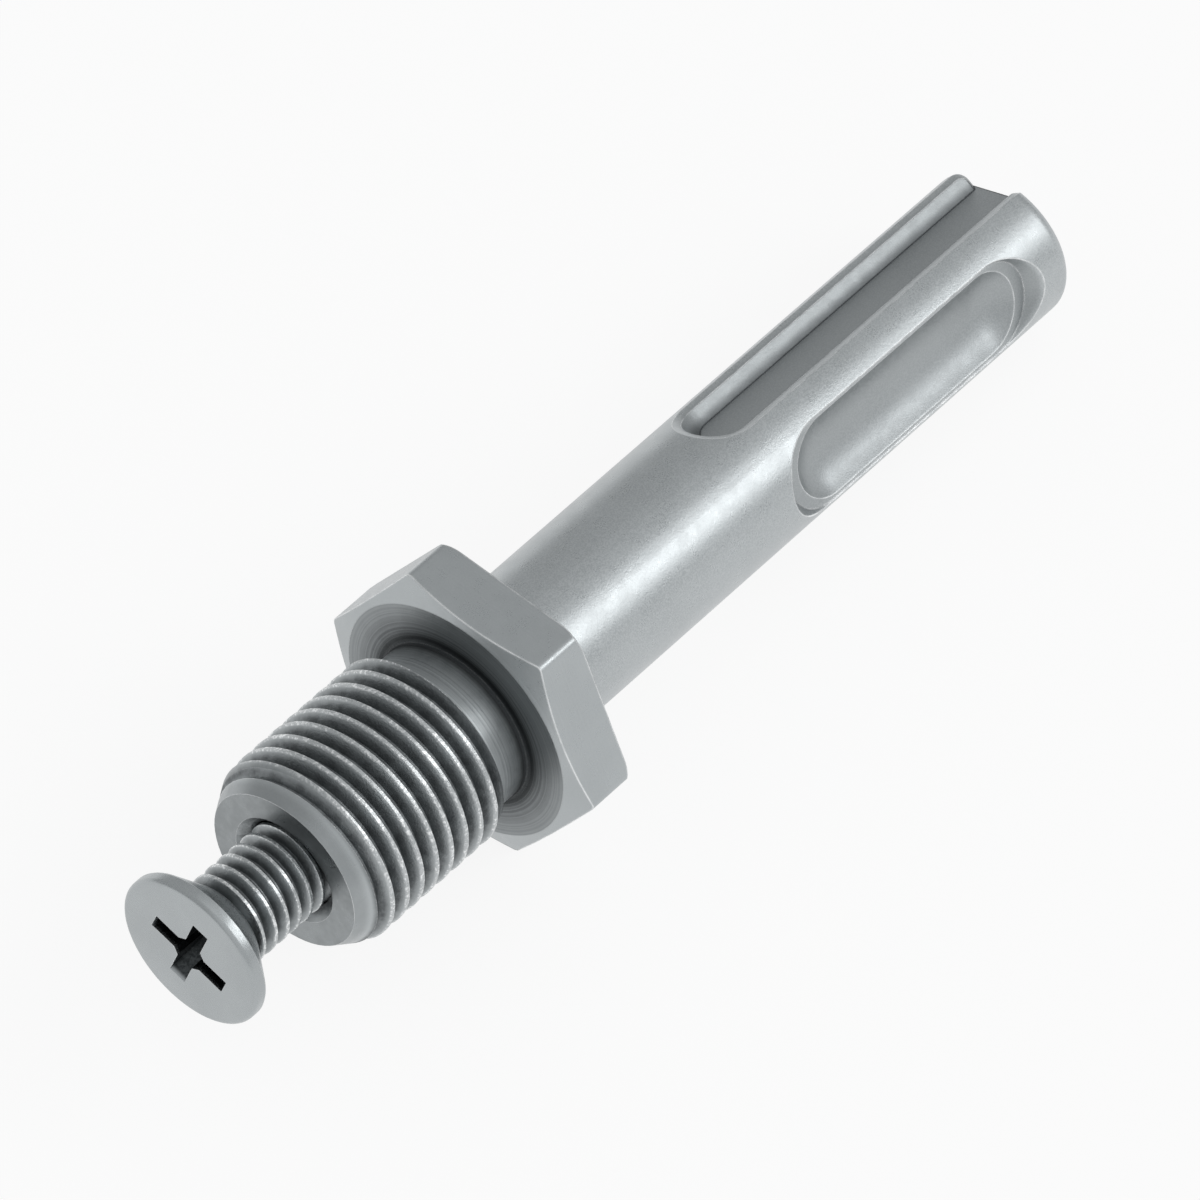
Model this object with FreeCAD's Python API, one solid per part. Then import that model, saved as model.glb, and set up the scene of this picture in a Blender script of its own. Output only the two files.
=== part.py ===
"""Adapter for a screw-on drill chuck: a grooved shank, a hex collar, a threaded stub and its screw.

Each piece is built along its own axis, which runs along +X from the screw's head to the shank's end, with
x = 0 on the collar's front face. Angles round the axis are in degrees from +Y towards +Z. The pieces are then
tilted into the attitude in which the adapter lies on a table, on one hex flat and the shank's end.
"""
import FreeCAD, Part
import math
import os

# Shank
shank_d = 10.0
shank_l = 46.5            # from the collar's rear face to the end face
shank_end_round = 0.9

# Open drive slots, cut by a tapered cutter that runs out of the shank's end
slot_count = 2
slot_angle = 66.8         # the first slot's middle
slot_reach = 27.63        # from the end face to the closed end's rim
slot_floor_w = 2.7
slot_floor_depth = 1.7    # under the shank's surface, at the slot's middle
slot_mouth_w = 4.46       # where the walls would meet the shank's surface if their edges were sharp
slot_edge_break = 0.32    # on each side of the mouth's edge

# Closed grooves for the locking balls: a flat-bottomed step with a round-bottomed trough in it
groove_count = 2
groove_angle = 156.8      # the first groove's middle
groove_end_gap = 3.25     # from the end face to the step's floor
step_l = 21.78            # of the step's floor
step_w = 5.86
step_depth = 1.08         # under the shank's surface, at the groove's middle
step_wall_angle = 34.0    # by which the step's walls lean outwards
trough_l = 19.93
trough_w = 5.46
trough_depth = 1.15       # under the step's floor
trough_end_gap = 0.92     # from the end of the step's floor to the trough, on the end-face side

# Hex collar
hex_across_flats = 17.0
hex_flat_angle = 90.0     # one flat's normal
hex_corner_round = 0.5
collar_l = 3.9
seat_d = 16.04            # the flat turned seat on the front face
seat_chamfer_angle = 21.0
collar_rear_round = 0.6   # on the rear corners, where the bar was turned

# Threaded stub, 1/2"-20 UNF, right-hand
stub_l = 14.75            # from the collar's front face to the stub's end
stub_thread_d = 12.6
stub_thread_pitch = 1.27
stub_thread_crest = 0.22
stub_thread_root = 0.16
stub_thread_flank = 30.0  # of each flank, from square to the axis
stub_face_d = 10.44
stub_lead_angle = 30.0    # of the lead chamfer, from the axis
stub_groove_at = 0.862    # from the stub's end to the first groove's middle, at angle 0
neck_d = 10.7
neck_l = 2.4              # from the collar's front face to the foot of the thread's shoulder
neck_shoulder_angle = 60.0
neck_fillet = 0.25
fillet_steps = 2

# Tapped hole for the screw
hole_clearance = 0.05     # round the screw's crests
hole_depth = 22.0
hole_mouth_d = 7.2
hole_mouth_angle = 90.0
drill_point_angle = 118.0

# Retaining screw, M6 x 1, left-hand
screw_out = 8.05          # from the stub's end to the head's front face
screw_l = 22.0
screw_thread_d = 5.8      # over the crests; the M6 x 1 groove itself is too fine for this solid
screw_tip_chamfer = 0.6
head_d = 9.95
head_rim_l = 0.57
head_edge_break = 0.2
head_cone_angle = 90.0
recess_span = 5.7
recess_wing_w = 1.05
recess_core_d = 2.5
recess_depth = 3.0
recess_tip_d = 1.7        # span of the wings at the recess's bottom
recess_angle = 14.3       # of the first wing
recess_draft = 0.2        # by which the core narrows on each side

sweep_past = 0.06         # by which a cutter stands clear of what it cuts

X = FreeCAD.Vector(1, 0, 0)
Y = FreeCAD.Vector(0, 1, 0)
Z = FreeCAD.Vector(0, 0, 1)
O = FreeCAD.Vector(0, 0, 0)


def vec(x, y, z):
    return FreeCAD.Vector(x, y, z)


def tan(degrees):
    return math.tan(math.radians(degrees))


def turned(profile):
    """The solid that a closed profile of (x, radius) points sweeps round the axis."""
    points = [vec(x, radius, 0) for x, radius in profile]
    face = Part.Face(Part.makePolygon(points + points[:1]))
    return face.revolve(O, X, 360)


def hollow_round(x0, radius0, size):
    """Profile points of a hollow fillet that leaves a cylinder at x0 and turns out to a face, in short steps."""
    angles = [math.radians(90 * k / fillet_steps) for k in range(fillet_steps + 1)]
    return [(x0 + size * math.sin(a), radius0 + size * (1 - math.cos(a))) for a in angles]


def rod(x0, x1, radius):
    return Part.makeCylinder(radius, x1 - x0, vec(x0, 0, 0), X)


def frustum(x0, x1, radius0, radius1):
    return Part.makeCone(radius0, radius1, x1 - x0, vec(x0, 0, 0), X)


def swung(shape, angle):
    """A copy of a shape that was built in the +Y direction, swung round the axis."""
    copy = shape.copy()
    copy.rotate(O, X, angle)
    return copy


def circle_edges(shape, x, radius, near=1e-3):
    """The round edges of one radius at one place along the axis."""
    found = []
    for edge in shape.Edges:
        curve = edge.Curve
        if isinstance(curve, Part.Circle) and abs(curve.Radius - radius) < near:
            if abs(curve.Center.x - x) < near and abs(curve.Center.y) + abs(curve.Center.z) < near:
                found.append(edge)
    return found


def skin_edges(shape, x_end, radius, near=2e-3):
    """The edges that lie on a cylinder's surface from its start up to x_end, apart from its end circles."""
    found = []
    for edge in shape.Edges:
        first, last = edge.FirstParameter, edge.LastParameter
        points = [edge.valueAt(first + (last - first) * share) for share in (0.1, 0.5, 0.9)]
        on_skin = all(abs(math.hypot(point.y, point.z) - radius) < near for point in points)
        inside = all(near < point.x < x_end - near for point in points)
        if on_skin and inside:
            found.append(edge)
    return found


def groove_depth(pitch, crest, root):
    return (pitch - crest - root) / 2 / tan(stub_thread_flank)


def helix(pitch, turns, radius, start_x):
    """One edge that winds right-handed round the axis, from angle 0 at start_x."""
    edge = Part.makeHelix(pitch, pitch * turns, radius).Edges[0]
    # the first turn lays the winding along +X, the second brings its start to +Y
    edge.rotate(O, Y, 90)
    edge.rotate(O, X, 90)
    edge.translate(vec(start_x, 0, 0))
    return edge


def thread_groove(diameter, pitch, crest, root, x_first, x0, x1):
    """A right-handed helical V-cutter from about x0 to x1, whose middle passes x_first at angle 0."""
    root_r = diameter / 2 - groove_depth(pitch, crest, root)
    top_r = diameter / 2 + sweep_past
    top_half = (pitch - crest) / 2 + sweep_past * tan(stub_thread_flank)
    start = x_first - math.ceil((x_first - x0) / pitch) * pitch
    turns = math.ceil((x1 - start) / pitch)
    corners = [(root_r, -root / 2), (top_r, -top_half), (top_r, top_half), (root_r, root / 2)]
    faces = []
    for k in range(turns):
        edges = [helix(pitch, 1, radius, start + k * pitch + offset) for radius, offset in corners]
        for edge, following in zip(edges, edges[1:] + edges[:1]):
            faces.append(Part.makeRuledSurface(edge, following))
    for x in (start, start + turns * pitch):
        outline = [vec(x + offset, radius, 0) for radius, offset in corners]
        faces.append(Part.Face(Part.makePolygon(outline + outline[:1])))
    shell = Part.Shell(faces)
    shell.sewShape()
    cutter = Part.Solid(shell)
    if cutter.Volume < 0:
        cutter.reverse()
    return cutter


def tapered_stadium(x0, x1, level0, half0, level1, half1):
    """A cutter's sweep from x0 to x1 in the +Y direction, its half width going from half0 at level0 to half1 at
    level1, with round ends."""
    height = level1 - level0
    ends = [Part.makeCone(half0, half1, height, vec(x, level0, 0), Y) for x in (x0, x1)]
    section = [
        vec(x0, level0, -half0),
        vec(x0, level0, half0),
        vec(x0, level1, half1),
        vec(x0, level1, -half1),
    ]
    middle = Part.Face(Part.makePolygon(section + section[:1])).extrude(vec(x1 - x0, 0, 0))
    return middle.fuse(ends).removeSplitter()


def drive_slot():
    """The cut of one open slot, in the +Y direction."""
    shank_r = shank_d / 2
    end_x = collar_l + shank_l
    mouth_half = slot_mouth_w / 2
    mouth_level = math.sqrt(shank_r**2 - mouth_half**2)
    floor_level = shank_r - slot_floor_depth
    floor_half = slot_floor_w / 2
    slope = (mouth_half - floor_half) / (mouth_level - floor_level)
    top_level = shank_r + sweep_past
    top_half = floor_half + slope * (top_level - floor_level)
    x0 = end_x - slot_reach + mouth_half
    x1 = end_x + top_half + sweep_past
    return tapered_stadium(x0, x1, floor_level, floor_half, top_level, top_half)


def ball_groove():
    """The cut of one closed groove, in the +Y direction: the step, and the round-bottomed trough under it."""
    shank_r = shank_d / 2
    step_x1 = collar_l + shank_l - groove_end_gap
    step_half = step_w / 2
    step_level = shank_r - step_depth
    top_level = shank_r + sweep_past
    step = tapered_stadium(
        step_x1 - step_l + step_half, step_x1 - step_half,
        step_level, step_half, top_level, step_half + (top_level - step_level) * tan(step_wall_angle),
    )
    trough_half = trough_w / 2
    ball_r = (trough_half**2 + trough_depth**2) / (2 * trough_depth)
    ball_level = step_level - trough_depth + ball_r
    x1 = step_x1 - trough_end_gap - trough_half
    x0 = x1 - trough_l + trough_w
    trough = Part.makeCylinder(ball_r, x1 - x0, vec(x0, ball_level, 0), X)
    trough = trough.fuse([Part.makeSphere(ball_r, vec(x, ball_level, 0)) for x in (x0, x1)])
    under_step = Part.makeBox(
        trough_l + 2 * ball_r, ball_r, 2 * ball_r,
        vec(x0 - ball_r - trough_half, step_level - ball_r + sweep_past, -ball_r),
    )
    return step.fuse(trough.common(under_step))


def collar():
    """The hex collar, with its turned seat chamfer in front and its rounded corners behind."""
    corner_r = hex_across_flats / math.sqrt(3)
    corners = []
    for k in range(6):
        angle = math.radians(hex_flat_angle + 30 + 60 * k)
        corners.append(vec(0, corner_r * math.cos(angle), corner_r * math.sin(angle)))
    prism = Part.Face(Part.makePolygon(corners + corners[:1])).extrude(vec(collar_l, 0, 0))
    along = [edge for edge in prism.Edges if abs(edge.tangentAt(edge.FirstParameter).x) > 0.9]
    prism = prism.makeFillet(hex_corner_round, along)
    outer_r = corner_r + sweep_past
    blank = rod(0, collar_l, outer_r)
    blank = blank.makeFillet(collar_rear_round, circle_edges(blank, collar_l, outer_r))
    # the chamfer's faces are free-form ones, so that its edges on the hex flats are plain curves, not conics
    seat_r = seat_d / 2
    past = sweep_past / tan(seat_chamfer_angle)
    beyond = [
        (-sweep_past, seat_r - past), (0, seat_r),
        ((corner_r + 1 - seat_r) * tan(seat_chamfer_angle), corner_r + 1), (-sweep_past, corner_r + 1),
    ]
    return prism.common(blank).cut(turned(beyond).toNurbs())


def stub():
    """The threaded stub and its relief neck, down to the collar's front face."""
    thread_r = stub_thread_d / 2
    neck_r = neck_d / 2
    face_r = stub_face_d / 2
    end_x = -stub_l
    lead_x = end_x + (thread_r - face_r) / tan(stub_lead_angle)
    shoulder_x = -neck_l - (thread_r - neck_r) / tan(neck_shoulder_angle)
    blank = turned([
        (end_x, 0), (end_x, face_r), (lead_x, thread_r), (shoulder_x, thread_r), (-neck_l, neck_r),
        *hollow_round(-neck_fillet, neck_r, neck_fillet), (0, 0),
    ])
    groove = thread_groove(
        stub_thread_d, stub_thread_pitch, stub_thread_crest, stub_thread_root,
        end_x + stub_groove_at, end_x - stub_thread_pitch, shoulder_x + stub_thread_pitch,
    )
    return blank.cut(groove)


def screw_hole():
    """The cut of the tapped hole, left at the screw's outside diameter, with its mouth and drill point."""
    hole_r = screw_thread_d / 2 + hole_clearance
    mouth_r = hole_mouth_d / 2
    half = hole_mouth_angle / 2
    end_x = -stub_l
    bottom_x = end_x + hole_depth
    mouth_x = end_x + (mouth_r - hole_r) / tan(half)
    point_x = bottom_x + hole_r / tan(drill_point_angle / 2)
    return turned([
        (end_x - sweep_past, 0), (end_x - sweep_past, mouth_r + sweep_past * tan(half)),
        (mouth_x, hole_r), (bottom_x, hole_r), (point_x, 0),
    ])


def grooved_shank():
    """The shank with its rounded end, its two open slots with their broken edges, and its two closed grooves."""
    end_x = collar_l + shank_l
    shank_r = shank_d / 2
    shank = rod(0, end_x, shank_r)
    shank = shank.makeFillet(shank_end_round, circle_edges(shank, end_x, shank_r))
    for k in range(slot_count):
        shank = shank.cut(swung(drive_slot(), slot_angle + 360 * k / slot_count))
    shank = shank.makeChamfer(slot_edge_break, skin_edges(shank, end_x - shank_end_round, shank_r))
    for k in range(groove_count):
        shank = shank.cut(swung(ball_groove(), groove_angle + 360 * k / groove_count))
    return shank


def adapter_body():
    return collar().fuse([grooved_shank(), stub()]).cut(screw_hole())


def cross_recess(front_x):
    """The cut of the cross recess: two crossed wings that narrow with depth, and a tapered core."""
    bottom_x = front_x + recess_depth
    outside_x = front_x - sweep_past
    taper = frustum(front_x, bottom_x, recess_span / 2, recess_tip_d / 2)
    taper = taper.fuse(rod(outside_x, front_x, recess_span / 2))
    wings = []
    for angle in (recess_angle, recess_angle + 90):
        bar = Part.makeBox(
            bottom_x - outside_x, recess_span, recess_wing_w,
            vec(outside_x, -recess_span / 2, -recess_wing_w / 2),
        )
        wings.append(swung(bar, angle))
    cross = wings[0].fuse(wings[1]).common(taper)
    core_r = recess_core_d / 2
    core = frustum(outside_x, bottom_x, core_r, core_r - recess_draft)
    point = frustum(bottom_x, bottom_x + core_r - recess_draft, core_r - recess_draft, 0)
    return cross.fuse([core, point])


def retaining_screw():
    front_x = -stub_l - screw_out
    tip_x = front_x + screw_l
    head_r = head_d / 2
    thread_r = screw_thread_d / 2
    rim_x = front_x + head_rim_l
    cone_end_x = rim_x + (head_r - thread_r) / tan(head_cone_angle / 2)
    blank = turned([
        (front_x, 0), (front_x, head_r - head_edge_break), (front_x + head_edge_break, head_r),
        (rim_x, head_r), (cone_end_x, thread_r),
        (tip_x - screw_tip_chamfer, thread_r), (tip_x, thread_r - screw_tip_chamfer), (tip_x, 0),
    ])
    return blank.cut(cross_recess(front_x))


def rest_tilt():
    """The angle by which the axis comes down towards the shank's end when the adapter lies on a hex flat."""
    run = shank_l - shank_end_round
    drop = hex_across_flats / 2 - (shank_d / 2 - shank_end_round)
    reach = math.hypot(run, drop)
    return math.degrees(math.atan2(drop, run) - math.asin(shank_end_round / reach))


os.makedirs("parts", exist_ok=True)
pieces = {"adapter_body": adapter_body(), "retaining_screw": retaining_screw()}
for name, shape in pieces.items():
    shape.rotate(O, Y, rest_tilt())
    solids = shape.Solids
    if len(solids) != 1 or not shape.isValid():
        raise SystemExit(f"{name}: {len(solids)} solids, valid {shape.isValid()}")
    solids[0].exportStep(f"parts/{name}.step")
    print(name, "volume", round(solids[0].Volume, 2), "faces", len(solids[0].Faces))
print("rest tilt", round(rest_tilt(), 4))
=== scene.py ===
"""Looks of a drill-chuck adapter: blasted steel shank, hex collar, threaded stub and its left-hand screw.

Lengths are in millimetres in the classes below, unless they say otherwise, and turned to metres where a
mesh or a node takes them. The adapter's own frame has +X from the screw's head to the shank's end, with
x = 0 on the collar's front face; the part lies tilted by REST_TILT about Y, and angles round the axis run
from +Y towards +Z.
"""
import logging
import math
from dataclasses import dataclass, field
from enum import Enum

import bpy
from mathutils import Matrix, Vector


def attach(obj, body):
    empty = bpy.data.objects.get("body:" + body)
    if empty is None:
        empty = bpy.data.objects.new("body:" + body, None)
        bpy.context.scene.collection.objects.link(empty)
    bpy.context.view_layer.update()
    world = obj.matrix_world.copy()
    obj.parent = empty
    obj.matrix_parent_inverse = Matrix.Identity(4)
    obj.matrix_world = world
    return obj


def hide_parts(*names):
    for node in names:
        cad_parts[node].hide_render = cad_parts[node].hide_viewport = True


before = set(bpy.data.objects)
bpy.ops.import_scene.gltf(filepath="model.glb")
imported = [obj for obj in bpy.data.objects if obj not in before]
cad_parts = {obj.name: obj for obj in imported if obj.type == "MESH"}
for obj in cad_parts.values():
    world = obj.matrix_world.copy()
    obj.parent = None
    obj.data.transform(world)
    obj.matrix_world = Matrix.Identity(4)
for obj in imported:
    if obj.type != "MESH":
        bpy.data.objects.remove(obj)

log = logging.getLogger("adapter")

MM = 0.001
REST_TILT = math.radians(4.385795)
FLOOR_LEVEL = -8.773
SLOT_ANGLE = math.radians(66.8)
ALONG_X = 0.9

Colour = tuple[float, float, float]
Station = tuple[float, float]
Socket = bpy.types.NodeSocket
Feed = Socket | float | tuple[float, ...]

# ---------------------------------------------------------------- bench helpers


def clear_selection() -> None:
    """Leaves nothing selected, in object mode."""
    if bpy.context.object is not None and bpy.context.object.mode != 'OBJECT':
        bpy.ops.object.mode_set(mode='OBJECT')
    bpy.ops.object.select_all(action='DESELECT')


def pick(piece: bpy.types.Object) -> None:
    """Makes one piece the only selected and the active one.

    Args:
        piece: The piece to work on.
    """
    clear_selection()
    piece.select_set(True)
    bpy.context.view_layer.objects.active = piece


def settle(piece: bpy.types.Object) -> None:
    """Takes a piece's place, turn and scale into its mesh.

    Args:
        piece: The piece, whose object then sits at the origin.
    """
    pick(piece)
    bpy.ops.object.transform_apply(location=True, rotation=True, scale=True)


def apply_modifiers(piece: bpy.types.Object) -> None:
    """Applies every modifier of a piece, in order.

    Args:
        piece: The piece whose stack is applied.
    """
    pick(piece)
    for name in [modifier.name for modifier in piece.modifiers]:
        bpy.ops.object.modifier_apply(modifier=name)


def cut_away(piece: bpy.types.Object, tool: bpy.types.Object) -> None:
    """Cuts one solid out of another and discards the cutter.

    Args:
        piece: The solid that stays.
        tool: The solid that is taken out of it.
    """
    cut = piece.modifiers.new("cut", 'BOOLEAN')
    cut.operation = 'DIFFERENCE'
    cut.solver = 'EXACT'
    cut.object = tool
    apply_modifiers(piece)
    bpy.data.objects.remove(tool, do_unlink=True)


def tidy_shell(piece: bpy.types.Object, near: float) -> None:
    """Merges doubles and turns the faces outwards.

    Args:
        piece: The piece to tidy.
        near: Distance in millimetres within which vertices are one.
    """
    pick(piece)
    bpy.ops.object.mode_set(mode='EDIT')
    bpy.ops.mesh.select_all(action='SELECT')
    bpy.ops.mesh.remove_doubles(threshold=near * MM)
    bpy.ops.mesh.normals_make_consistent(inside=False)
    bpy.ops.object.mode_set(mode='OBJECT')


def lathe(name: str, profile: list[Station], sides: int) -> bpy.types.Object:
    """Turns a solid along X by extruding one disc from station to station.

    Args:
        name: The new piece's name.
        profile: (x, radius) stations in millimetres, the first and last one closed by flat faces.
        sides: Number of sides of the round.

    Returns:
        The closed solid.
    """
    clear_selection()
    first_x, first_radius = profile[0]
    bpy.ops.mesh.primitive_circle_add(
        vertices=sides, radius=first_radius * MM, fill_type='NGON', location=(first_x * MM, 0, 0),
        rotation=(0, math.pi / 2, 0),
    )
    piece = bpy.context.object
    piece.name = name
    bpy.ops.object.transform_apply(location=True, rotation=True, scale=True)
    bpy.ops.object.mode_set(mode='EDIT')
    bpy.ops.mesh.select_all(action='SELECT')
    for (x_before, radius_before), (x, radius) in zip(profile, profile[1:]):
        bpy.ops.mesh.extrude_region_move(
            TRANSFORM_OT_translate={"value": ((x - x_before) * MM, 0, 0)}
        )
        ratio = radius / radius_before
        bpy.ops.transform.resize(value=(1, ratio, ratio), center_override=(x * MM, 0, 0))
    bpy.ops.mesh.select_all(action='SELECT')
    bpy.ops.mesh.normals_make_consistent(inside=False)
    bpy.ops.object.mode_set(mode='OBJECT')
    return piece


def turn_round_axis(piece: bpy.types.Object, angle: float) -> None:
    """Turns a piece round X and keeps that place in its mesh.

    Args:
        piece: The piece to turn.
        angle: The turn in degrees.
    """
    piece.matrix_world = Matrix.Rotation(math.radians(angle), 4, 'X')
    settle(piece)


def lay_down(piece: bpy.types.Object) -> None:
    """Tilts a piece that was built along X into the resting attitude, and keeps that place in its mesh.

    Args:
        piece: The piece to lay down.
    """
    piece.matrix_world = Matrix.Rotation(REST_TILT, 4, 'Y')
    settle(piece)


def quarter_round(x: float, radius: float, size: float, steps: int) -> list[Station]:
    """Stations of a rounded edge from a flat front face at x out to a rim.

    Args:
        x: Where the front face lies.
        radius: The rim's radius.
        size: The rounding's radius.
        steps: Number of chords.

    Returns:
        (x, radius) stations in millimetres.
    """
    stations = []
    for k in range(steps + 1):
        turn = math.pi / 2 * k / steps
        stations.append((x + size * (1 - math.cos(turn)), radius - size * (1 - math.sin(turn))))
    return stations


# ---------------------------------------------------------------- wiring


class Curve(Enum):
    """How a fade runs between its two marks."""

    STRAIGHT = 'LINEAR'
    SOFT = 'SMOOTHSTEP'


class Step(Enum):
    """One step of arithmetic."""

    PLUS = 'ADD'
    LESS = 'SUBTRACT'
    TIMES = 'MULTIPLY'
    OVER = 'DIVIDE'
    ROOT = 'SQRT'
    SIZE = 'ABSOLUTE'
    HIGHER = 'MAXIMUM'
    LOWER = 'MINIMUM'


@dataclass(frozen=True)
class Fade:
    """A change from bottom at the start mark to top at the end mark, level outside them."""

    start: float
    end: float
    bottom: float = 0.0
    top: float = 1.0
    curve: Curve = Curve.SOFT


class Wiring:
    """Nodes of one material or world, added and joined by plain calls."""

    def __init__(self, tree: bpy.types.NodeTree) -> None:
        """Starts from an empty tree.

        Args:
            tree: The tree to fill.
        """
        self.tree = tree
        tree.nodes.clear()

    def add(self, kind: str, **settings: object) -> bpy.types.Node:
        """Adds a node.

        Args:
            kind: The node's type name without its prefix.
            **settings: Properties set on the node.

        Returns:
            The node.
        """
        node = self.tree.nodes.new("ShaderNode" + kind)
        for key, value in settings.items():
            setattr(node, key, value)
        return node

    def feed(self, socket: Socket, source: Feed) -> None:
        """Joins a source to a socket, or sets the socket's own value.

        Args:
            socket: The input.
            source: An output socket, or a plain value.
        """
        if isinstance(source, Socket):
            self.tree.links.new(source, socket)
        else:
            socket.default_value = source

    def work_out(self, step: Step, a: Feed, b: Feed = 0.0, clamp: bool = False) -> Socket:
        """Takes one step of arithmetic.

        Args:
            step: What is done with the values.
            a: First value.
            b: Second value.
            clamp: Keeps the result within 0 and 1.

        Returns:
            The result.
        """
        node = self.add("Math", operation=step.value, use_clamp=clamp)
        self.feed(node.inputs[0], a)
        self.feed(node.inputs[1], b)
        return node.outputs[0]

    def times(self, first: Feed, *others: Feed) -> Socket:
        """Multiplies values, from the left.

        Args:
            first: First value.
            *others: The other values.

        Returns:
            The product.
        """
        for other in others:
            first = self.work_out(Step.TIMES, first, other)
        return first

    def plus(self, first: Feed, *others: Feed) -> Socket:
        """Adds values, from the left.

        Args:
            first: First value.
            *others: The other values.

        Returns:
            The sum.
        """
        for other in others:
            first = self.work_out(Step.PLUS, first, other)
        return first

    def higher(self, first: Feed, *others: Feed) -> Socket:
        """Finds the highest value.

        Args:
            first: First value.
            *others: The other values.

        Returns:
            The highest one.
        """
        for other in others:
            first = self.work_out(Step.HIGHER, first, other)
        return first

    def rest(self, share: Feed) -> Socket:
        """What a share leaves of one.

        Args:
            share: A value between 0 and 1.

        Returns:
            One less the share.
        """
        return self.work_out(Step.LESS, 1.0, share)

    def ramp(
        self, value: Feed, fade: Fade, unit: float = 1.0,
        bottom: Feed | None = None, top: Feed | None = None,
    ) -> Socket:
        """Maps a value by a fade.

        Args:
            value: What is mapped.
            fade: The fade.
            unit: What one unit of the fade's marks is in the value's own unit.
            bottom: Stands in for the fade's bottom.
            top: Stands in for the fade's top.

        Returns:
            The result.
        """
        node = self.add("MapRange", interpolation_type=fade.curve.value, clamp=True)
        levels = (fade.bottom if bottom is None else bottom, fade.top if top is None else top)
        for socket, source in zip(node.inputs, (value, fade.start * unit, fade.end * unit, *levels)):
            self.feed(socket, source)
        return node.outputs["Result"]

    def speckle(self, place: Socket, size: float, detail: float, rough: float) -> Socket:
        """Noise whose blotches are about a given size.

        Args:
            place: Coordinates in metres.
            size: Size of a blotch in millimetres.
            detail: Octaves.
            rough: How strong the finer octaves are.

        Returns:
            The noise, about 0 to 1.
        """
        node = self.add("TexNoise")
        self.feed(node.inputs["Vector"], place)
        node.inputs["Scale"].default_value = 1 / (size * MM)
        node.inputs["Detail"].default_value = detail
        node.inputs["Roughness"].default_value = rough
        return node.outputs[0]

    def lines(self, along: Socket, spacing: float, detail: float) -> Socket:
        """Uneven tool marks along one coordinate.

        Args:
            along: The coordinate in metres.
            spacing: Mean distance of the marks in millimetres.
            detail: Octaves.

        Returns:
            The marks' height, about 0 to 1.
        """
        node = self.add("TexNoise", noise_dimensions='1D')
        self.feed(node.inputs["W"], along)
        node.inputs["Scale"].default_value = 1 / (spacing * MM)
        node.inputs["Detail"].default_value = detail
        return node.outputs[0]

    def between(self, share: Feed, a: Feed, b: Feed) -> Socket:
        """Mixes two values.

        Args:
            share: How much of the second one.
            a: First value.
            b: Second value.

        Returns:
            The value.
        """
        node = self.add("Mix", data_type='FLOAT')
        for socket, source in zip((node.inputs[0], node.inputs[2], node.inputs[3]), (share, a, b)):
            self.feed(socket, source)
        return node.outputs[0]

    def tint(self, share: Feed, a: Feed, b: Feed) -> Socket:
        """Mixes two colours.

        Args:
            share: How much of the second one.
            a: First colour.
            b: Second colour.

        Returns:
            The colour.
        """
        node = self.add("Mix", data_type='RGBA')
        self.feed(node.inputs[0], share)
        for socket, source in ((node.inputs[6], a), (node.inputs[7], b)):
            self.feed(socket, (*source, 1.0) if isinstance(source, tuple) else source)
        return node.outputs[2]

    def split(self, vector: Socket) -> tuple[Socket, Socket, Socket]:
        """Takes a vector apart.

        Args:
            vector: The vector.

        Returns:
            Its x, y and z.
        """
        node = self.add("SeparateXYZ")
        self.feed(node.inputs[0], vector)
        return tuple(node.outputs)

    def levelled(self, vector: Socket) -> Socket:
        """Turns a vector from the resting attitude into the adapter's own frame.

        Args:
            vector: A place or a normal on the part as it rests.

        Returns:
            The vector in the adapter's frame.
        """
        node = self.add("Mapping", vector_type='VECTOR')
        self.feed(node.inputs["Vector"], vector)
        node.inputs["Rotation"].default_value = (0, -REST_TILT, 0)
        return node.outputs[0]


# ---------------------------------------------------------------- finishes


class Along:
    """Fades by a point's x, in millimetres."""

    STUB = Fade(-0.2, -0.6)
    FRONT_FACE = Fade(-13.8, -14.3)
    FROM_NECK = Fade(-3.4, -2.6)
    UP_TO_SEAT = Fade(0.05, 0.0)
    NECK_FOOT = Fade(-0.9, -0.2)
    FOOT_RING = Fade(-0.42, -0.16, top=0.85)
    FOOT_RING_END = Fade(0.1, 0.0)
    REAR_FACE = Fade(3.6, 3.8, top=0.45)
    SHANK_END = Fade(49.0, 49.5)
    INTO_RECESS = Fade(0.02, 0.3, top=0.97)


class Outwards:
    """Fades by a point's distance from the axis, in millimetres."""

    BELOW_SKIN = Fade(4.93, 4.6)
    SLOT_WALL = Fade(4.3, 3.6, top=0.6)
    SLOT_FOOT = Fade(4.5, 4.1)
    SEAT_RIM = Fade(8.08, 7.96, top=0.42)
    SEAT = Fade(7.9, 5.6, top=0.4)
    NECK = Fade(5.4, 5.6, bottom=0.28)
    NECK_FOOT = Fade(6.3, 5.65, top=0.88)
    CORNER_WEAR_AND_GLINT = Fade(8.1, 8.3, 0.2, 0.5)
    RECESS = Fade(3.14, 3.02)


class Lie:
    """Fades by how a face lies: along the axis, outwards, towards the slots, or off its rounded normal."""

    SQUARE_ON = Fade(0.8, 0.9)
    WALL = Fade(0.8, 0.5)
    IN_SLOT = Fade(0.65, 0.8)
    EDGE = Fade(0.988, 0.955)
    FOOT_LINE = Fade(0.998, 0.985, top=0.9)


class Air:
    """Fades by how open a point is to the air."""

    CORNER = Fade(0.2, 0.84, top=0.0)
    WEAR_AND_GLINT = Fade(0.66, 0.88)
    SHADED_EDGE = Fade(0.86, 0.62, top=0.8)


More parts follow.
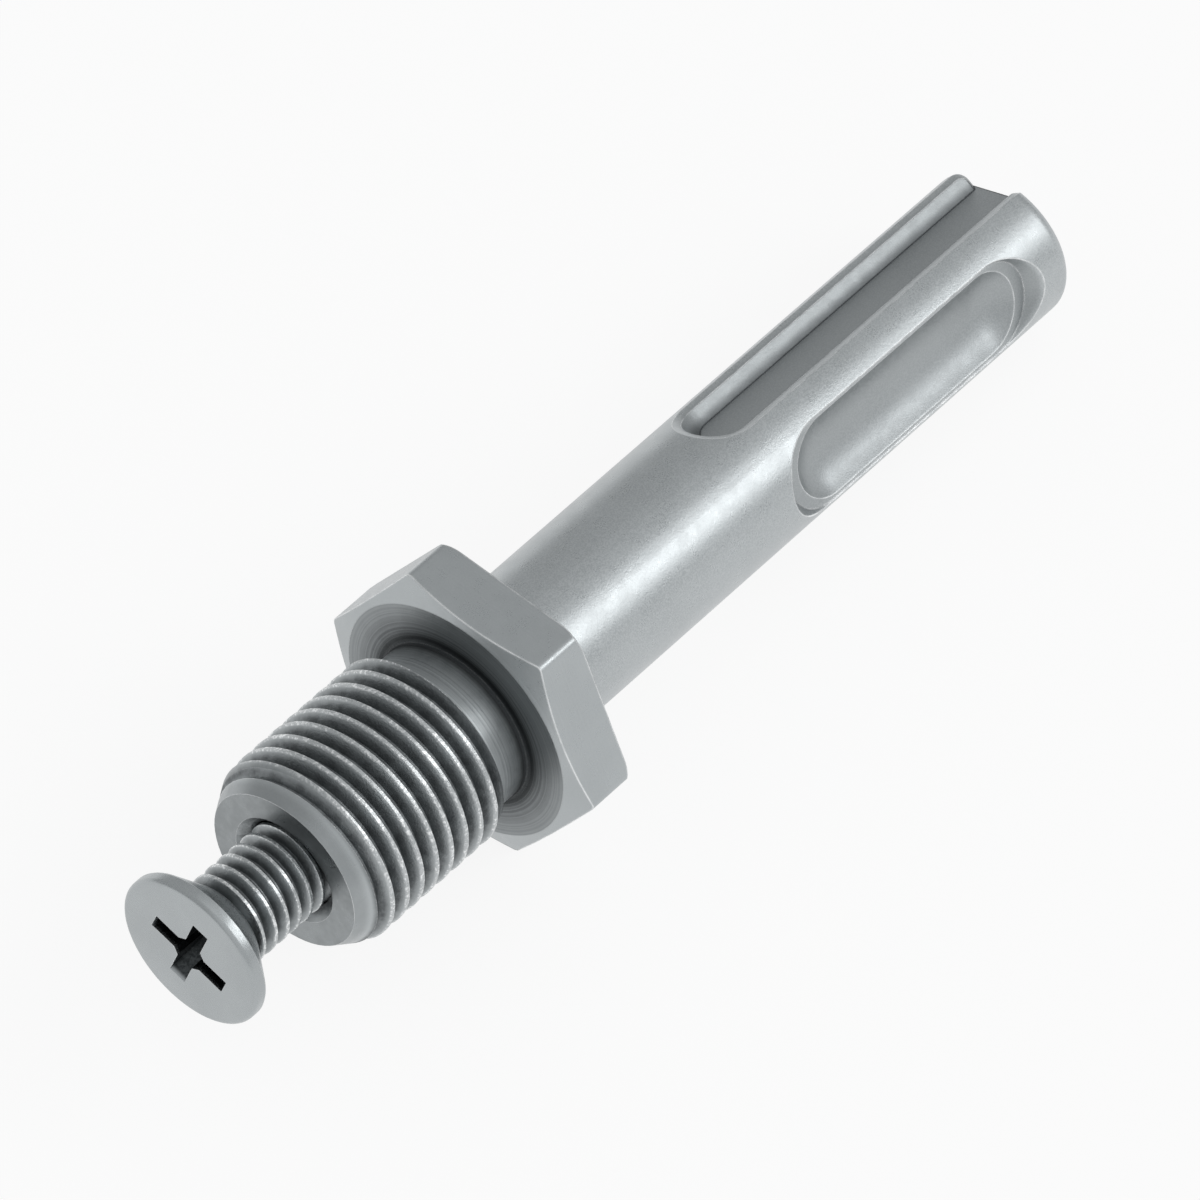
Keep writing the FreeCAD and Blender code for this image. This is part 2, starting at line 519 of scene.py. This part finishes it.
class Patch:
    """Fades by a noise, which break up what would be even."""

    CLOUD_PALE = Fade(0.3, 0.7, top=0.07)
    BROAD_DIRT = Fade(0.35, 0.7, top=0.06)
    GRAIN_PALE = Fade(0.4, 0.62, top=0.42)
    THREAD_ROOT_PATCHES = Fade(0.3, 0.7, 0.72, 1.12)
    FRONT_FACE = Fade(0.3, 0.7, 0.85, 1.1)
    STREAK = Fade(0.35, 0.65)
    EDGE_WEAR_AND_GLINT = Fade(0.3, 0.62, top=0.95)
    THREAD_WEAR_AND_GLINT = Fade(0.42, 0.62, bottom=0.15)
    CREST_NICKS_AND_GLINTS = Fade(0.47, 0.66, 0.22, 0.9)
    CREST_CLOUD = Fade(0.36, 0.62, bottom=0.45)
    RECESS_SHADE = Fade(0.3, 0.7, 1.0, 0.9)
    GRAIN_GLOSS = Fade(0.3, 0.7, -0.05, 0.07)
    CLOUD_GLOSS = Fade(0.3, 0.7, -0.02, 0.04)


class Share:
    """Fades by another share between 0 and 1."""

    STREAK_LOW = Fade(0.0, 1.0, 0.4, 0.84)
    STREAK_HIGH = Fade(0.0, 1.0, 1.35, 1.06)
    SLOT_SHADE = Fade(0.0, 1.0, 0.20, 0.24)
    FRONT_FACE = Fade(0.0, 1.0, bottom=0.62)


@dataclass(frozen=True)
class ShadeAndGrime:
    """Where a turned piece is painted darker: painted shade near its corners, and painted shade with dark
    scale in its thread's roots.
    """

    thread_from: float
    thread_to: float
    crest_radius: float
    root_radius: float
    thread_fade: float = 0.4
    shade_and_scale: float = 0.7
    corner_reach: float = 0.9
    corner: float = 0.85
    turned_relief: float = 0.16
    most: float = 0.94
    end_face: float = 0.0
    recess_at: float | None = None
    recess_taper: float = 0.55


@dataclass(frozen=True)
class Spot:
    """What the finish knows of a point on the steel; shares run from 0 to 1."""

    place: Socket
    x: Socket
    radius: Socket
    square_on: Socket
    outward: Socket
    shank: Socket
    turned: Socket
    below_skin: Socket
    in_slot: Socket
    threaded: Socket
    neck_foot: Socket
    rounded: Socket
    lean: Socket
    edge: Socket
    open_air: Socket


@dataclass(frozen=True)
class Marks:
    """The noises that blasting, turning and handling leave, each about 0 to 1."""

    fine: Socket
    coarse: Socket
    cloud: Socket
    broad: Socket
    rings: Socket


@dataclass(frozen=True)
class SteelFinish:
    """Bare steel with blasted or turned faces, painted shade and scale in its roots and corners, and edges
    worn bright with painted glints.
    """

    name: str
    shade_and_grime: ShadeAndGrime
    colour: Colour = (0.435, 0.462, 0.472)
    pale: Colour = (0.62, 0.645, 0.655)
    wear_and_glint_colour: Colour = (0.93, 0.945, 0.95)
    dirt_and_shade: Colour = (0.060, 0.066, 0.070)
    painted_shade: Colour = (0.024, 0.028, 0.030)
    roughness: float = 0.33
    edge: float = 0.17
    thread_edge: float = 0.04
    probes: int = 8
    grain_size: float = 0.085
    coarser: float = 2.3
    cloud_size: float = 0.9
    broad_size: float = 5.0
    grain_height: float = 0.0066
    ring_height: float = 0.01
    square_on_rings: float = 0.45
    ring_spacing: float = 0.15
    blasted_from: float = 3.85
    blasted_fade: float = 0.2
    turned_grain: float = 0.3
    thread_grain: float = 2.2
    coarse_grain: float = 0.8
    thread_shade: float = 0.1
    crest_below: float = 0.1
    crest_above: float = 0.02
    skin_gloss: float = 0.07
    shade_and_grime_gloss: float = 0.2
    wear_and_glint_gloss: float = 0.1
    neck: bool = True

    def make(self) -> bpy.types.Material:
        """Builds the material.

        Returns:
            The material.
        """
        steel = bpy.data.materials.new(self.name)
        steel.use_nodes = True
        w = Wiring(steel.node_tree)
        out = w.add("OutputMaterial")
        metal = w.add("BsdfPrincipled")
        w.feed(out.inputs[0], metal.outputs[0])
        metal.inputs["Metallic"].default_value = 1.0
        spot = self.survey(w)
        marks = self.wear_marks(w, spot)
        shade_and_scale = self.painted_shade_and_scale(w, spot, marks)
        slot_foot = w.times(spot.in_slot, spot.shank, w.ramp(spot.radius, Outwards.SLOT_FOOT, MM))
        wear_and_glint = self.worn_and_glinting_edges(w, spot, marks, slot_foot)
        base = self.steel_and_slot_shade(w, spot, marks)
        base = w.tint(shade_and_scale, base, self.dirt_and_shade)
        base = w.tint(wear_and_glint, base, self.wear_and_glint_colour)
        base = self.last_tints(w, spot, marks, slot_foot, base)
        w.feed(metal.inputs["Base Color"], base)
        w.feed(metal.inputs["Roughness"], self.gloss(w, spot, marks, shade_and_scale, wear_and_glint))
        w.feed(metal.inputs["Normal"], self.relief(w, spot, marks))
        log.info("finish %s", self.name)
        return steel

    def survey(self, w: Wiring) -> Spot:
        """Finds out where a point lies on the part and how its face lies.

        Args:
            w: The material's wiring.

        Returns:
            The point's facts.
        """
        coordinates = w.add("TexCoord")
        place = w.levelled(coordinates.outputs["Object"])
        x, y, z = w.split(place)
        radius = w.work_out(Step.ROOT, w.plus(w.times(y, y), w.times(z, z)))
        ahead, aside, above = w.split(w.levelled(coordinates.outputs["Normal"]))
        square_on = w.ramp(w.work_out(Step.SIZE, ahead), Lie.SQUARE_ON)
        outward = w.work_out(Step.OVER, w.plus(w.times(aside, y), w.times(above, z)), radius)

        shank = w.ramp(x, Fade(self.blasted_from, self.blasted_from + self.blasted_fade), MM)
        flat_end = w.times(square_on, w.ramp(x, Along.SHANK_END, MM))
        slotwards = w.plus(w.times(y, math.cos(SLOT_ANGLE)), w.times(z, math.sin(SLOT_ANGLE)))
        in_slot = w.ramp(w.work_out(Step.SIZE, w.work_out(Step.OVER, slotwards, radius)), Lie.IN_SLOT)
        shade_and_grime = self.shade_and_grime
        threaded = w.times(
            w.ramp(x, Fade(shade_and_grime.thread_from, shade_and_grime.thread_from + shade_and_grime.thread_fade), MM),
            w.ramp(x, Fade(shade_and_grime.thread_to + shade_and_grime.thread_fade, shade_and_grime.thread_to), MM),
        )

        # an edge is where the rounded normal leaves the face's own
        rounding = w.add("Bevel", samples=self.probes)
        narrower = w.times(w.ramp(x, Along.STUB, MM), (self.edge - self.thread_edge) * MM)
        w.feed(rounding.inputs["Radius"], w.work_out(Step.LESS, self.edge * MM, narrower))
        surface = w.add("NewGeometry")
        lean = w.add("VectorMath", operation='DOT_PRODUCT')
        w.feed(lean.inputs[0], rounding.outputs[0])
        w.feed(lean.inputs[1], surface.outputs["Normal"])

        hollow = w.add("AmbientOcclusion", samples=self.probes, only_local=False)
        w.feed(hollow.inputs["Distance"], w.times(w.plus(shade_and_grime.corner_reach, shank), MM))
        return Spot(
            place=place, x=x, radius=radius, square_on=square_on, outward=outward, shank=shank,
            turned=w.rest(shank),
            below_skin=w.times(w.times(shank, w.rest(flat_end)), w.ramp(radius, Outwards.BELOW_SKIN, MM)),
            in_slot=in_slot, threaded=threaded,
            neck_foot=w.times(w.ramp(x, Along.NECK_FOOT, MM), w.ramp(radius, Outwards.NECK_FOOT, MM)),
            rounded=rounding.outputs[0], lean=lean.outputs["Value"],
            edge=w.ramp(lean.outputs["Value"], Lie.EDGE), open_air=hollow.outputs["AO"],
        )

    def wear_marks(self, w: Wiring, spot: Spot) -> Marks:
        """Makes the noises.

        Args:
            w: The material's wiring.
            spot: The point's facts.

        Returns:
            The noises.
        """
        return Marks(
            fine=w.speckle(spot.place, self.grain_size, detail=1.0, rough=0.5),
            coarse=w.speckle(spot.place, self.grain_size * self.coarser, detail=1.0, rough=0.5),
            cloud=w.speckle(spot.place, self.cloud_size, detail=3.0, rough=0.55),
            broad=w.speckle(spot.place, self.broad_size, detail=2.0, rough=0.5),
            rings=w.between(
                spot.square_on, w.lines(spot.x, self.ring_spacing, detail=2.0),
                w.lines(spot.radius, self.ring_spacing, detail=2.0),
            ),
        )

    def painted_shade_and_scale(self, w: Wiring, spot: Spot, marks: Marks) -> Socket:
        """Paints shade into corners, onto the slots' walls, into the thread and round the neck, with some
        dark scale in the thread.

        Args:
            w: The material's wiring.
            spot: The point's facts.
            marks: The noises.

        Returns:
            The share of painted shade and scale.
        """
        shade_and_grime = self.shade_and_grime
        # painted shade in corners and wherever the ambient occlusion finds the air closed in; the collar's
        # rear face is spared
        airy = w.plus(spot.open_air, w.times(spot.turned, shade_and_grime.turned_relief))
        rear = w.times(spot.square_on, w.ramp(spot.x, Along.REAR_FACE, MM))
        corners = w.times(w.ramp(airy, Air.CORNER, bottom=shade_and_grime.corner), w.rest(rear))
        # painted shade on the slots' walls, darker towards their foot
        wall = w.times(w.ramp(spot.outward, Lie.WALL), spot.below_skin, spot.in_slot)
        slot = w.times(w.ramp(spot.radius, Outwards.SLOT_WALL, MM), wall)
        # painted shade deepening from crest to root in the thread, in patches, with dark scale lodged
        # there
        down = Fade(shade_and_grime.crest_radius, shade_and_grime.root_radius, top=shade_and_grime.shade_and_scale, curve=Curve.STRAIGHT)
        depth = w.ramp(spot.radius, down, MM)
        thread = w.times(depth, spot.threaded, w.ramp(marks.cloud, Patch.THREAD_ROOT_PATCHES))
        dirt_and_shade = w.higher(corners, slot, thread)
        if self.neck:
            # painted shade and darkened reflection on the seat round the neck, streaked along the turning
            # rings, and painted shade at the neck's foot
            near = w.times(w.ramp(spot.x, Along.FROM_NECK, MM), w.ramp(spot.x, Along.UP_TO_SEAT, MM))
            rim = w.ramp(spot.radius, Outwards.SEAT_RIM, MM)
            inward = w.plus(rim, w.ramp(spot.radius, Outwards.SEAT, MM))
            inward = w.times(inward, w.ramp(spot.radius, Outwards.NECK, MM))
            low = w.ramp(spot.square_on, Share.STREAK_LOW)
            high = w.ramp(spot.square_on, Share.STREAK_HIGH)
            streak = w.ramp(marks.rings, Patch.STREAK, bottom=low, top=high)
            dirt_and_shade = w.higher(dirt_and_shade, w.times(near, inward, streak), w.times(spot.neck_foot, spot.turned))
        return w.work_out(Step.LOWER, dirt_and_shade, shade_and_grime.most)

    def worn_and_glinting_edges(self, w: Wiring, spot: Spot, marks: Marks, slot_foot: Socket) -> Socket:
        """Brightens the open edges in patches: wear, with painted glints along them.

        Args:
            w: The material's wiring.
            spot: The point's facts.
            marks: The noises.
            slot_foot: Share of the slots' inner corners, which stay dull.

        Returns:
            The share that is worn bright or painted with a glint.
        """
        # the hex corners get the brightest wear and painted glint
        least = w.ramp(spot.radius, Outwards.CORNER_WEAR_AND_GLINT, MM)
        patches = w.ramp(marks.cloud, Patch.EDGE_WEAR_AND_GLINT, bottom=least)
        wear_and_glint = w.times(spot.edge, w.ramp(spot.open_air, Air.WEAR_AND_GLINT), patches, w.rest(slot_foot))
        return w.times(wear_and_glint, w.between(spot.threaded, 1.0, w.ramp(marks.coarse, Patch.THREAD_WEAR_AND_GLINT)))

    def steel_and_slot_shade(self, w: Wiring, spot: Spot, marks: Marks) -> Socket:
        """Colours the steel before the later shade, scale and wear, and paints shade into the slots and
        over the thread.

        Args:
            w: The material's wiring.
            spot: The point's facts.
            marks: The noises.

        Returns:
            The colour.
        """
        base = w.tint(w.ramp(marks.cloud, Patch.CLOUD_PALE), self.colour, self.pale)
        base = w.tint(w.ramp(marks.broad, Patch.BROAD_DIRT), base, self.dirt_and_shade)
        blasted = w.plus(w.times(spot.shank, 1 - self.turned_grain), self.turned_grain)
        base = w.tint(w.times(w.ramp(marks.fine, Patch.GRAIN_PALE), blasted), base, self.pale)
        # painted shade on the slots' floors and walls
        base = w.tint(w.times(spot.below_skin, w.ramp(spot.in_slot, Share.SLOT_SHADE)), base, self.dirt_and_shade)
        # painted shade over the whole threaded length
        base = w.tint(w.times(spot.threaded, self.thread_shade), base, self.dirt_and_shade)
        front = w.times(
            w.ramp(spot.x, Along.FRONT_FACE, MM, top=self.shade_and_grime.end_face),
            w.ramp(spot.square_on, Share.FRONT_FACE),
        )
        return w.tint(w.times(front, w.ramp(marks.cloud, Patch.FRONT_FACE)), base, self.dirt_and_shade)

    def last_tints(self, w: Wiring, spot: Spot, marks: Marks, slot_foot: Socket, base: Socket) -> Socket:
        """Paints bright nicks and glints on the crests, and paints shade on closed edges, the slots' inner
        corners, the neck's foot and the recess.

        Args:
            w: The material's wiring.
            spot: The point's facts.
            marks: The noises.
            slot_foot: Share of the slots' inner corners.
            base: The colour so far.

        Returns:
            The finished colour.
        """
        # bright nicks along the crests: wear, with painted glints standing in for the highlight's sparkle
        top = self.shade_and_grime.crest_radius
        at_crest = Fade(top - self.crest_below, top + self.crest_above)
        crest = w.times(spot.threaded, w.ramp(spot.radius, at_crest, MM))
        nicks_and_glints = w.times(w.ramp(marks.coarse, Patch.CREST_NICKS_AND_GLINTS), w.ramp(marks.cloud, Patch.CREST_CLOUD))
        base = w.tint(w.times(crest, nicks_and_glints), base, self.wear_and_glint_colour)
        # painted shade on edges where the air is closed in
        base = w.tint(w.times(spot.edge, w.ramp(spot.open_air, Air.SHADED_EDGE)), base, self.dirt_and_shade)
        # painted shade: a dark line along the slots' inner corners
        base = w.tint(w.times(slot_foot, w.ramp(spot.lean, Lie.FOOT_LINE)), base, self.dirt_and_shade)
        if self.neck:
            # painted shade: a near-black ring on the neck's fillet, over its bright highlight
            ring = w.times(w.ramp(spot.x, Along.FOOT_RING, MM), w.ramp(spot.x, Along.FOOT_RING_END, MM))
            base = w.tint(w.times(spot.neck_foot, ring), base, self.painted_shade)
        if self.shade_and_grime.recess_at is not None:
            # painted shade: the cross recess painted near black, so its lit walls stay dark
            into = w.work_out(Step.LESS, spot.x, self.shade_and_grime.recess_at * MM)
            reach = w.plus(spot.radius, w.times(into, self.shade_and_grime.recess_taper))
            recess = w.times(w.ramp(reach, Outwards.RECESS, MM), w.ramp(into, Along.INTO_RECESS, MM))
            base = w.tint(w.times(recess, w.ramp(marks.coarse, Patch.RECESS_SHADE)), base, self.painted_shade)
        return base

    def gloss(self, w: Wiring, spot: Spot, marks: Marks, shade_and_scale: Socket, wear_and_glint: Socket) -> Socket:
        """Varies the roughness.

        Args:
            w: The material's wiring.
            spot: The point's facts.
            marks: The noises.
            shade_and_scale: The share of painted shade and scale.
            wear_and_glint: The share that is worn bright or painted with a glint.

        Returns:
            The roughness.
        """
        gloss = w.plus(
            self.roughness, w.ramp(marks.fine, Patch.GRAIN_GLOSS), w.ramp(marks.cloud, Patch.CLOUD_GLOSS),
            w.times(spot.below_skin, self.skin_gloss), w.times(shade_and_scale, self.shade_and_grime_gloss),
        )
        return w.work_out(Step.PLUS, gloss, w.times(wear_and_glint, self.wear_and_glint_gloss), clamp=True)

    def relief(self, w: Wiring, spot: Spot, marks: Marks) -> Socket:
        """Raises grain and tool marks on the rounded edges.

        Args:
            w: The material's wiring.
            spot: The point's facts.
            marks: The noises.

        Returns:
            The normal.
        """
        grain = w.plus(marks.fine, w.times(marks.coarse, self.coarse_grain))
        rugged = w.plus(
            w.times(spot.shank, 1 - self.turned_grain), w.times(spot.threaded, self.thread_grain),
            self.turned_grain,
        )
        tall, low = self.ring_height * MM, self.square_on_rings * self.ring_height * MM
        cut = w.ramp(spot.square_on, Fade(0.0, 1.0, tall, low))
        height = w.plus(
            w.times(w.times(grain, rugged), self.grain_height * MM),
            w.times(w.times(marks.rings, spot.turned), cut),
        )
        bump = w.add("Bump")
        bump.inputs["Strength"].default_value = 1.0
        bump.inputs["Distance"].default_value = 1.0
        w.feed(bump.inputs["Height"], height)
        w.feed(bump.inputs["Normal"], spot.rounded)
        return bump.outputs[0]


# ---------------------------------------------------------------- sub-assemblies


@dataclass
class AdapterBody:
    """The one-piece steel body: grooved shank, hex collar, relief neck and threaded stub."""

    finish: SteelFinish = field(default_factory=lambda: SteelFinish(
        "body_blasted_steel",
        ShadeAndGrime(thread_from=-13.9, thread_to=-2.9, crest_radius=6.25, root_radius=5.88, end_face=0.42),
    ))

    def build(self) -> bpy.types.Object:
        """Takes the frame's solid, whose faces carry their true normals, as the body.

        Returns:
            The body.
        """
        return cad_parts["adapter_body"]

    def dress(self, piece: bpy.types.Object) -> None:
        """Puts the finish on the body.

        Args:
            piece: The body.
        """
        piece.data.materials.clear()
        piece.data.materials.append(self.finish.make())


@dataclass
class RetainingScrew:
    """The left-hand countersunk screw with its cross recess."""

    front: float = -22.8
    head_radius: float = 4.975
    head_edge: float = 0.34
    head_edge_steps: int = 5
    cone_from: float = -21.95
    cone_break: float = 0.06
    cone_break_drop: float = 0.07
    cone_end: float = -20.155
    thread_radius: float = 2.9
    tip: float = -0.8
    tip_chamfer: float = 0.6
    sides: int = 96
    pitch: float = 1.0
    crest: float = 0.2
    root_radius: float = 2.346
    root_half: float = 0.06
    groove_at: float = 0.3175
    groove_end: float = -20.3
    groove_overlap: float = 0.06
    steps_per_turn: int = 56
    wing_angles: tuple[float, float] = (14.3, 104.3)
    wing_half: float = 0.58
    wing_taper: float = 0.8
    wing_reach: float = 2.99
    tip_reach: float = 1.15
    recess_depth: float = 3.0
    cutter_overlap: float = 0.5
    core: tuple[Station, ...] = ((-0.5, 1.62), (2.8, 1.12), (3.6, 0.3))
    merge_within: float = 0.001
    smooth_below: float = 24
    finish: SteelFinish = field(default_factory=lambda: SteelFinish(
        "screw_steel",
        ShadeAndGrime(thread_from=-20.4, thread_to=0.0, crest_radius=2.88, root_radius=2.5, corner_reach=0.7,
              end_face=0.08, recess_at=-22.8),
        blasted_from=900.0, roughness=0.29, grain_height=0.004, ring_height=0.002, neck=False,
    ))

    def blank(self) -> bpy.types.Object:
        """Turns the head, its cone and the plain shank.

        Returns:
            The closed blank.
        """
        stations = quarter_round(self.front, self.head_radius, self.head_edge, self.head_edge_steps)
        stations += [
            (self.cone_from - self.cone_break, self.head_radius),
            (self.cone_from + self.cone_break, self.head_radius - self.cone_break_drop),
            (self.cone_end, self.thread_radius),
            (self.tip - self.tip_chamfer, self.thread_radius),
            (self.tip, self.thread_radius - self.tip_chamfer),
        ]
        return lathe("screw_blank", stations, self.sides)

    def groove(self) -> bpy.types.Object:
        """Winds the left-hand thread's V-shaped cutter.

        Returns:
            The closed cutter.
        """
        top_radius = self.thread_radius + self.groove_overlap
        slope = ((self.pitch - self.crest) / 2 - self.root_half) / (self.thread_radius - self.root_radius)
        top_half = self.root_half + slope * (top_radius - self.root_radius)
        turns = (self.groove_at - self.groove_end) / self.pitch
        clear_selection()
        bpy.ops.mesh.primitive_plane_add(size=1.0)
        tool = bpy.context.object
        tool.name = "thread_cutter"
        corners = (
            (-self.root_half, self.root_radius), (self.root_half, self.root_radius),
            (-top_half, top_radius), (top_half, top_radius),
        )
        for vertex, (x, radius) in zip(tool.data.vertices, corners):
            vertex.co = ((self.groove_at + x) * MM, radius * MM, 0)
        bpy.ops.object.mode_set(mode='EDIT')
        bpy.ops.mesh.select_all(action='SELECT')
        bpy.ops.mesh.delete(type='ONLY_FACE')
        bpy.ops.object.mode_set(mode='OBJECT')
        wind = tool.modifiers.new("wind", 'SCREW')
        wind.axis = 'X'
        wind.angle = 2 * math.pi * turns
        wind.screw_offset = -turns * self.pitch * MM
        wind.iterations = 1
        wind.steps = wind.render_steps = round(self.steps_per_turn * turns)
        wind.use_smooth_shade = False
        apply_modifiers(tool)
        bpy.ops.object.mode_set(mode='EDIT')
        bpy.ops.mesh.select_all(action='SELECT')
        bpy.ops.mesh.fill_holes(sides=len(corners))
        bpy.ops.mesh.normals_make_consistent(inside=False)
        bpy.ops.object.mode_set(mode='OBJECT')
        return tool

    def wings(self, angle: float) -> bpy.types.Object:
        """Shapes the cutter of two opposite wings of the cross recess, which narrow with depth.

        Args:
            angle: Where one wing points, in degrees round the axis.

        Returns:
            The closed cutter.
        """
        start, end = self.front - self.cutter_overlap, self.front + self.recess_depth
        clear_selection()
        bpy.ops.mesh.primitive_cube_add(
            size=1.0, location=((start + end) / 2 * MM, 0, 0),
            scale=((end - start) * MM, 2 * self.wing_reach * MM, 2 * self.wing_half * MM),
        )
        tool = bpy.context.object
        tool.name = "wing_cutter"
        bpy.ops.object.transform_apply(location=True, rotation=True, scale=True)
        bpy.ops.object.mode_set(mode='EDIT')
        bpy.ops.mesh.select_all(action='DESELECT')
        bpy.ops.object.mode_set(mode='OBJECT')
        for face in tool.data.polygons:
            face.select = face.normal.x > ALONG_X
        bpy.ops.object.mode_set(mode='EDIT')
        bpy.ops.transform.resize(
            value=(1, self.tip_reach / self.wing_reach, self.wing_taper), center_override=(end * MM, 0, 0),
        )
        bpy.ops.object.mode_set(mode='OBJECT')
        turn_round_axis(tool, angle)
        return tool

    def corners(self) -> bpy.types.Object:
        """Turns the four-sided cutter that takes off the corners between the wings.

        Returns:
            The closed cutter.
        """
        tool = lathe("core_cutter", [(self.front + x, radius) for x, radius in self.core], 4)
        turn_round_axis(tool, self.wing_angles[0])
        return tool

    def build(self) -> bpy.types.Object:
        """Makes the screw: blank, thread, cross recess.

        Returns:
            The screw.
        """
        piece = self.blank()
        piece.name = "screw_turned_steel"
        cut_away(piece, self.groove())
        for angle in self.wing_angles:
            cut_away(piece, self.wings(angle))
        cut_away(piece, self.corners())
        tidy_shell(piece, self.merge_within)
        lay_down(piece)
        bpy.ops.object.shade_smooth_by_angle(angle=math.radians(self.smooth_below))
        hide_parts("retaining_screw")
        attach(piece, "screw")
        return piece

    def dress(self, piece: bpy.types.Object) -> None:
        """Puts the finish on the screw.

        Args:
            piece: The screw.
        """
        piece.data.materials.clear()
        piece.data.materials.append(self.finish.make())


# ---------------------------------------------------------------- studio


@dataclass(frozen=True)
class Softbox:
    """One rectangular lamp that shines at the part; lengths are in metres."""

    name: str
    towards: tuple[float, float, float]
    distance: float
    width: float
    height: float
    brightness: float

    def hang(self) -> None:
        """Adds the lamp."""
        lamp = bpy.data.lights.new(self.name, 'AREA')
        lamp.shape = 'RECTANGLE'
        lamp.size, lamp.size_y = self.width, self.height
        lamp.energy = self.brightness * math.pi * self.width * self.height
        holder = bpy.data.objects.new(self.name, lamp)
        bpy.context.scene.collection.objects.link(holder)
        direction = Vector(self.towards).normalized()
        holder.location = direction * self.distance
        holder.rotation_euler = direction.to_track_quat('Z', 'Y').to_euler()
        log.info("lamp %s", self.name)


@dataclass
class Studio:
    """Pale floor, soft lamps, pale surroundings and the camera; lengths are in metres."""

    camera_at: tuple[float, float, float] = (-0.2477892, -0.2003696, 0.4633729)
    camera_turn: tuple[float, float, float] = (0.6144419, -0.0345978, -0.8663075)
    lens: float = 296.868
    sensor: float = 36
    clip_start: float = 0.01
    floor_size: float = 4.0
    floor_colour: Colour = (0.93, 0.93, 0.93)
    floor_glow: float = 0.88
    sky: Fade = Fade(-0.1, 0.9, 0.50, 0.56)
    near_side: Fade = Fade(0.3, -0.6, top=0.25)
    sky_colour: Colour = (0.985, 0.995, 1.0)
    lamps: tuple[Softbox, ...] = (
        Softbox("key", (0.52, -0.60, 0.61), 0.9, 0.42, 0.42, 2.1),
        Softbox("top", (0.25, 0.05, 1.0), 0.9, 0.5, 0.5, 0.2),
    )

    def floor(self) -> None:
        """Lays the pale floor that the part rests on."""
        clear_selection()
        bpy.ops.mesh.primitive_plane_add(size=self.floor_size, location=(0, 0, FLOOR_LEVEL * MM))
        floor = bpy.context.object
        floor.name = "studio_floor"
        pale = bpy.data.materials.new("pale_floor")
        pale.use_nodes = True
        w = Wiring(pale.node_tree)
        out = w.add("OutputMaterial")
        matt = w.add("BsdfDiffuse")
        matt.inputs["Color"].default_value = (*self.floor_colour, 1)
        glow = w.add("Emission")
        glow.inputs["Color"].default_value = (1, 1, 1, 1)
        path = w.add("LightPath")
        seen = w.higher(*(path.outputs[f"Is {kind} Ray"] for kind in ("Camera", "Glossy", "Transmission")))
        mix = w.add("MixShader")
        w.feed(mix.inputs[0], w.times(seen, self.floor_glow))
        w.feed(mix.inputs[1], matt.outputs[0])
        w.feed(mix.inputs[2], glow.outputs[0])
        w.feed(out.inputs[0], mix.outputs[0])
        floor.data.materials.append(pale)

    def surroundings(self) -> None:
        """Makes the pale room, white behind the part and greyer in what the steel reflects."""
        world = bpy.data.worlds.new("pale_room")
        bpy.context.scene.world = world
        world.use_nodes = True
        w = Wiring(world.node_tree)
        out = w.add("OutputWorld")
        room = w.add("Background")
        white = w.add("Background")
        white.inputs["Color"].default_value = (1, 1, 1, 1)
        white.inputs["Strength"].default_value = 1.0
        _, across, up = w.split(w.add("TexCoord").outputs["Generated"])
        w.feed(room.inputs["Strength"], w.plus(w.ramp(up, self.sky), w.ramp(across, self.near_side)))
        room.inputs["Color"].default_value = (*self.sky_colour, 1)
        path = w.add("LightPath")
        mix = w.add("MixShader")
        w.feed(mix.inputs[0], path.outputs["Is Camera Ray"])
        w.feed(mix.inputs[1], room.outputs[0])
        w.feed(mix.inputs[2], white.outputs[0])
        w.feed(out.inputs[0], mix.outputs[0])

    def camera(self) -> None:
        """Sets up the camera at the photograph's place."""
        eye = bpy.data.cameras.new("studio_camera")
        eye.sensor_width = self.sensor
        eye.lens = self.lens
        eye.clip_start = self.clip_start
        holder = bpy.data.objects.new("studio_camera", eye)
        bpy.context.scene.collection.objects.link(holder)
        holder.location = self.camera_at
        holder.rotation_euler = self.camera_turn
        bpy.context.scene.camera = holder

    def build(self) -> None:
        """Builds floor, surroundings, lamps and camera."""
        self.floor()
        self.surroundings()
        for lamp in self.lamps:
            lamp.hang()
        self.camera()
        bpy.context.scene.view_settings.view_transform = 'Standard'


def main() -> None:
    """Builds the part piece by piece, then the studio round it."""
    logging.basicConfig(level=logging.INFO, format="%(name)s: %(message)s")
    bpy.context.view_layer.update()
    for maker in (AdapterBody(), RetainingScrew()):
        piece = maker.build()
        maker.dress(piece)
        log.info("piece %s: %d faces", piece.name, len(piece.data.polygons))
    Studio().build()


if __name__ == "__main__":
    main()
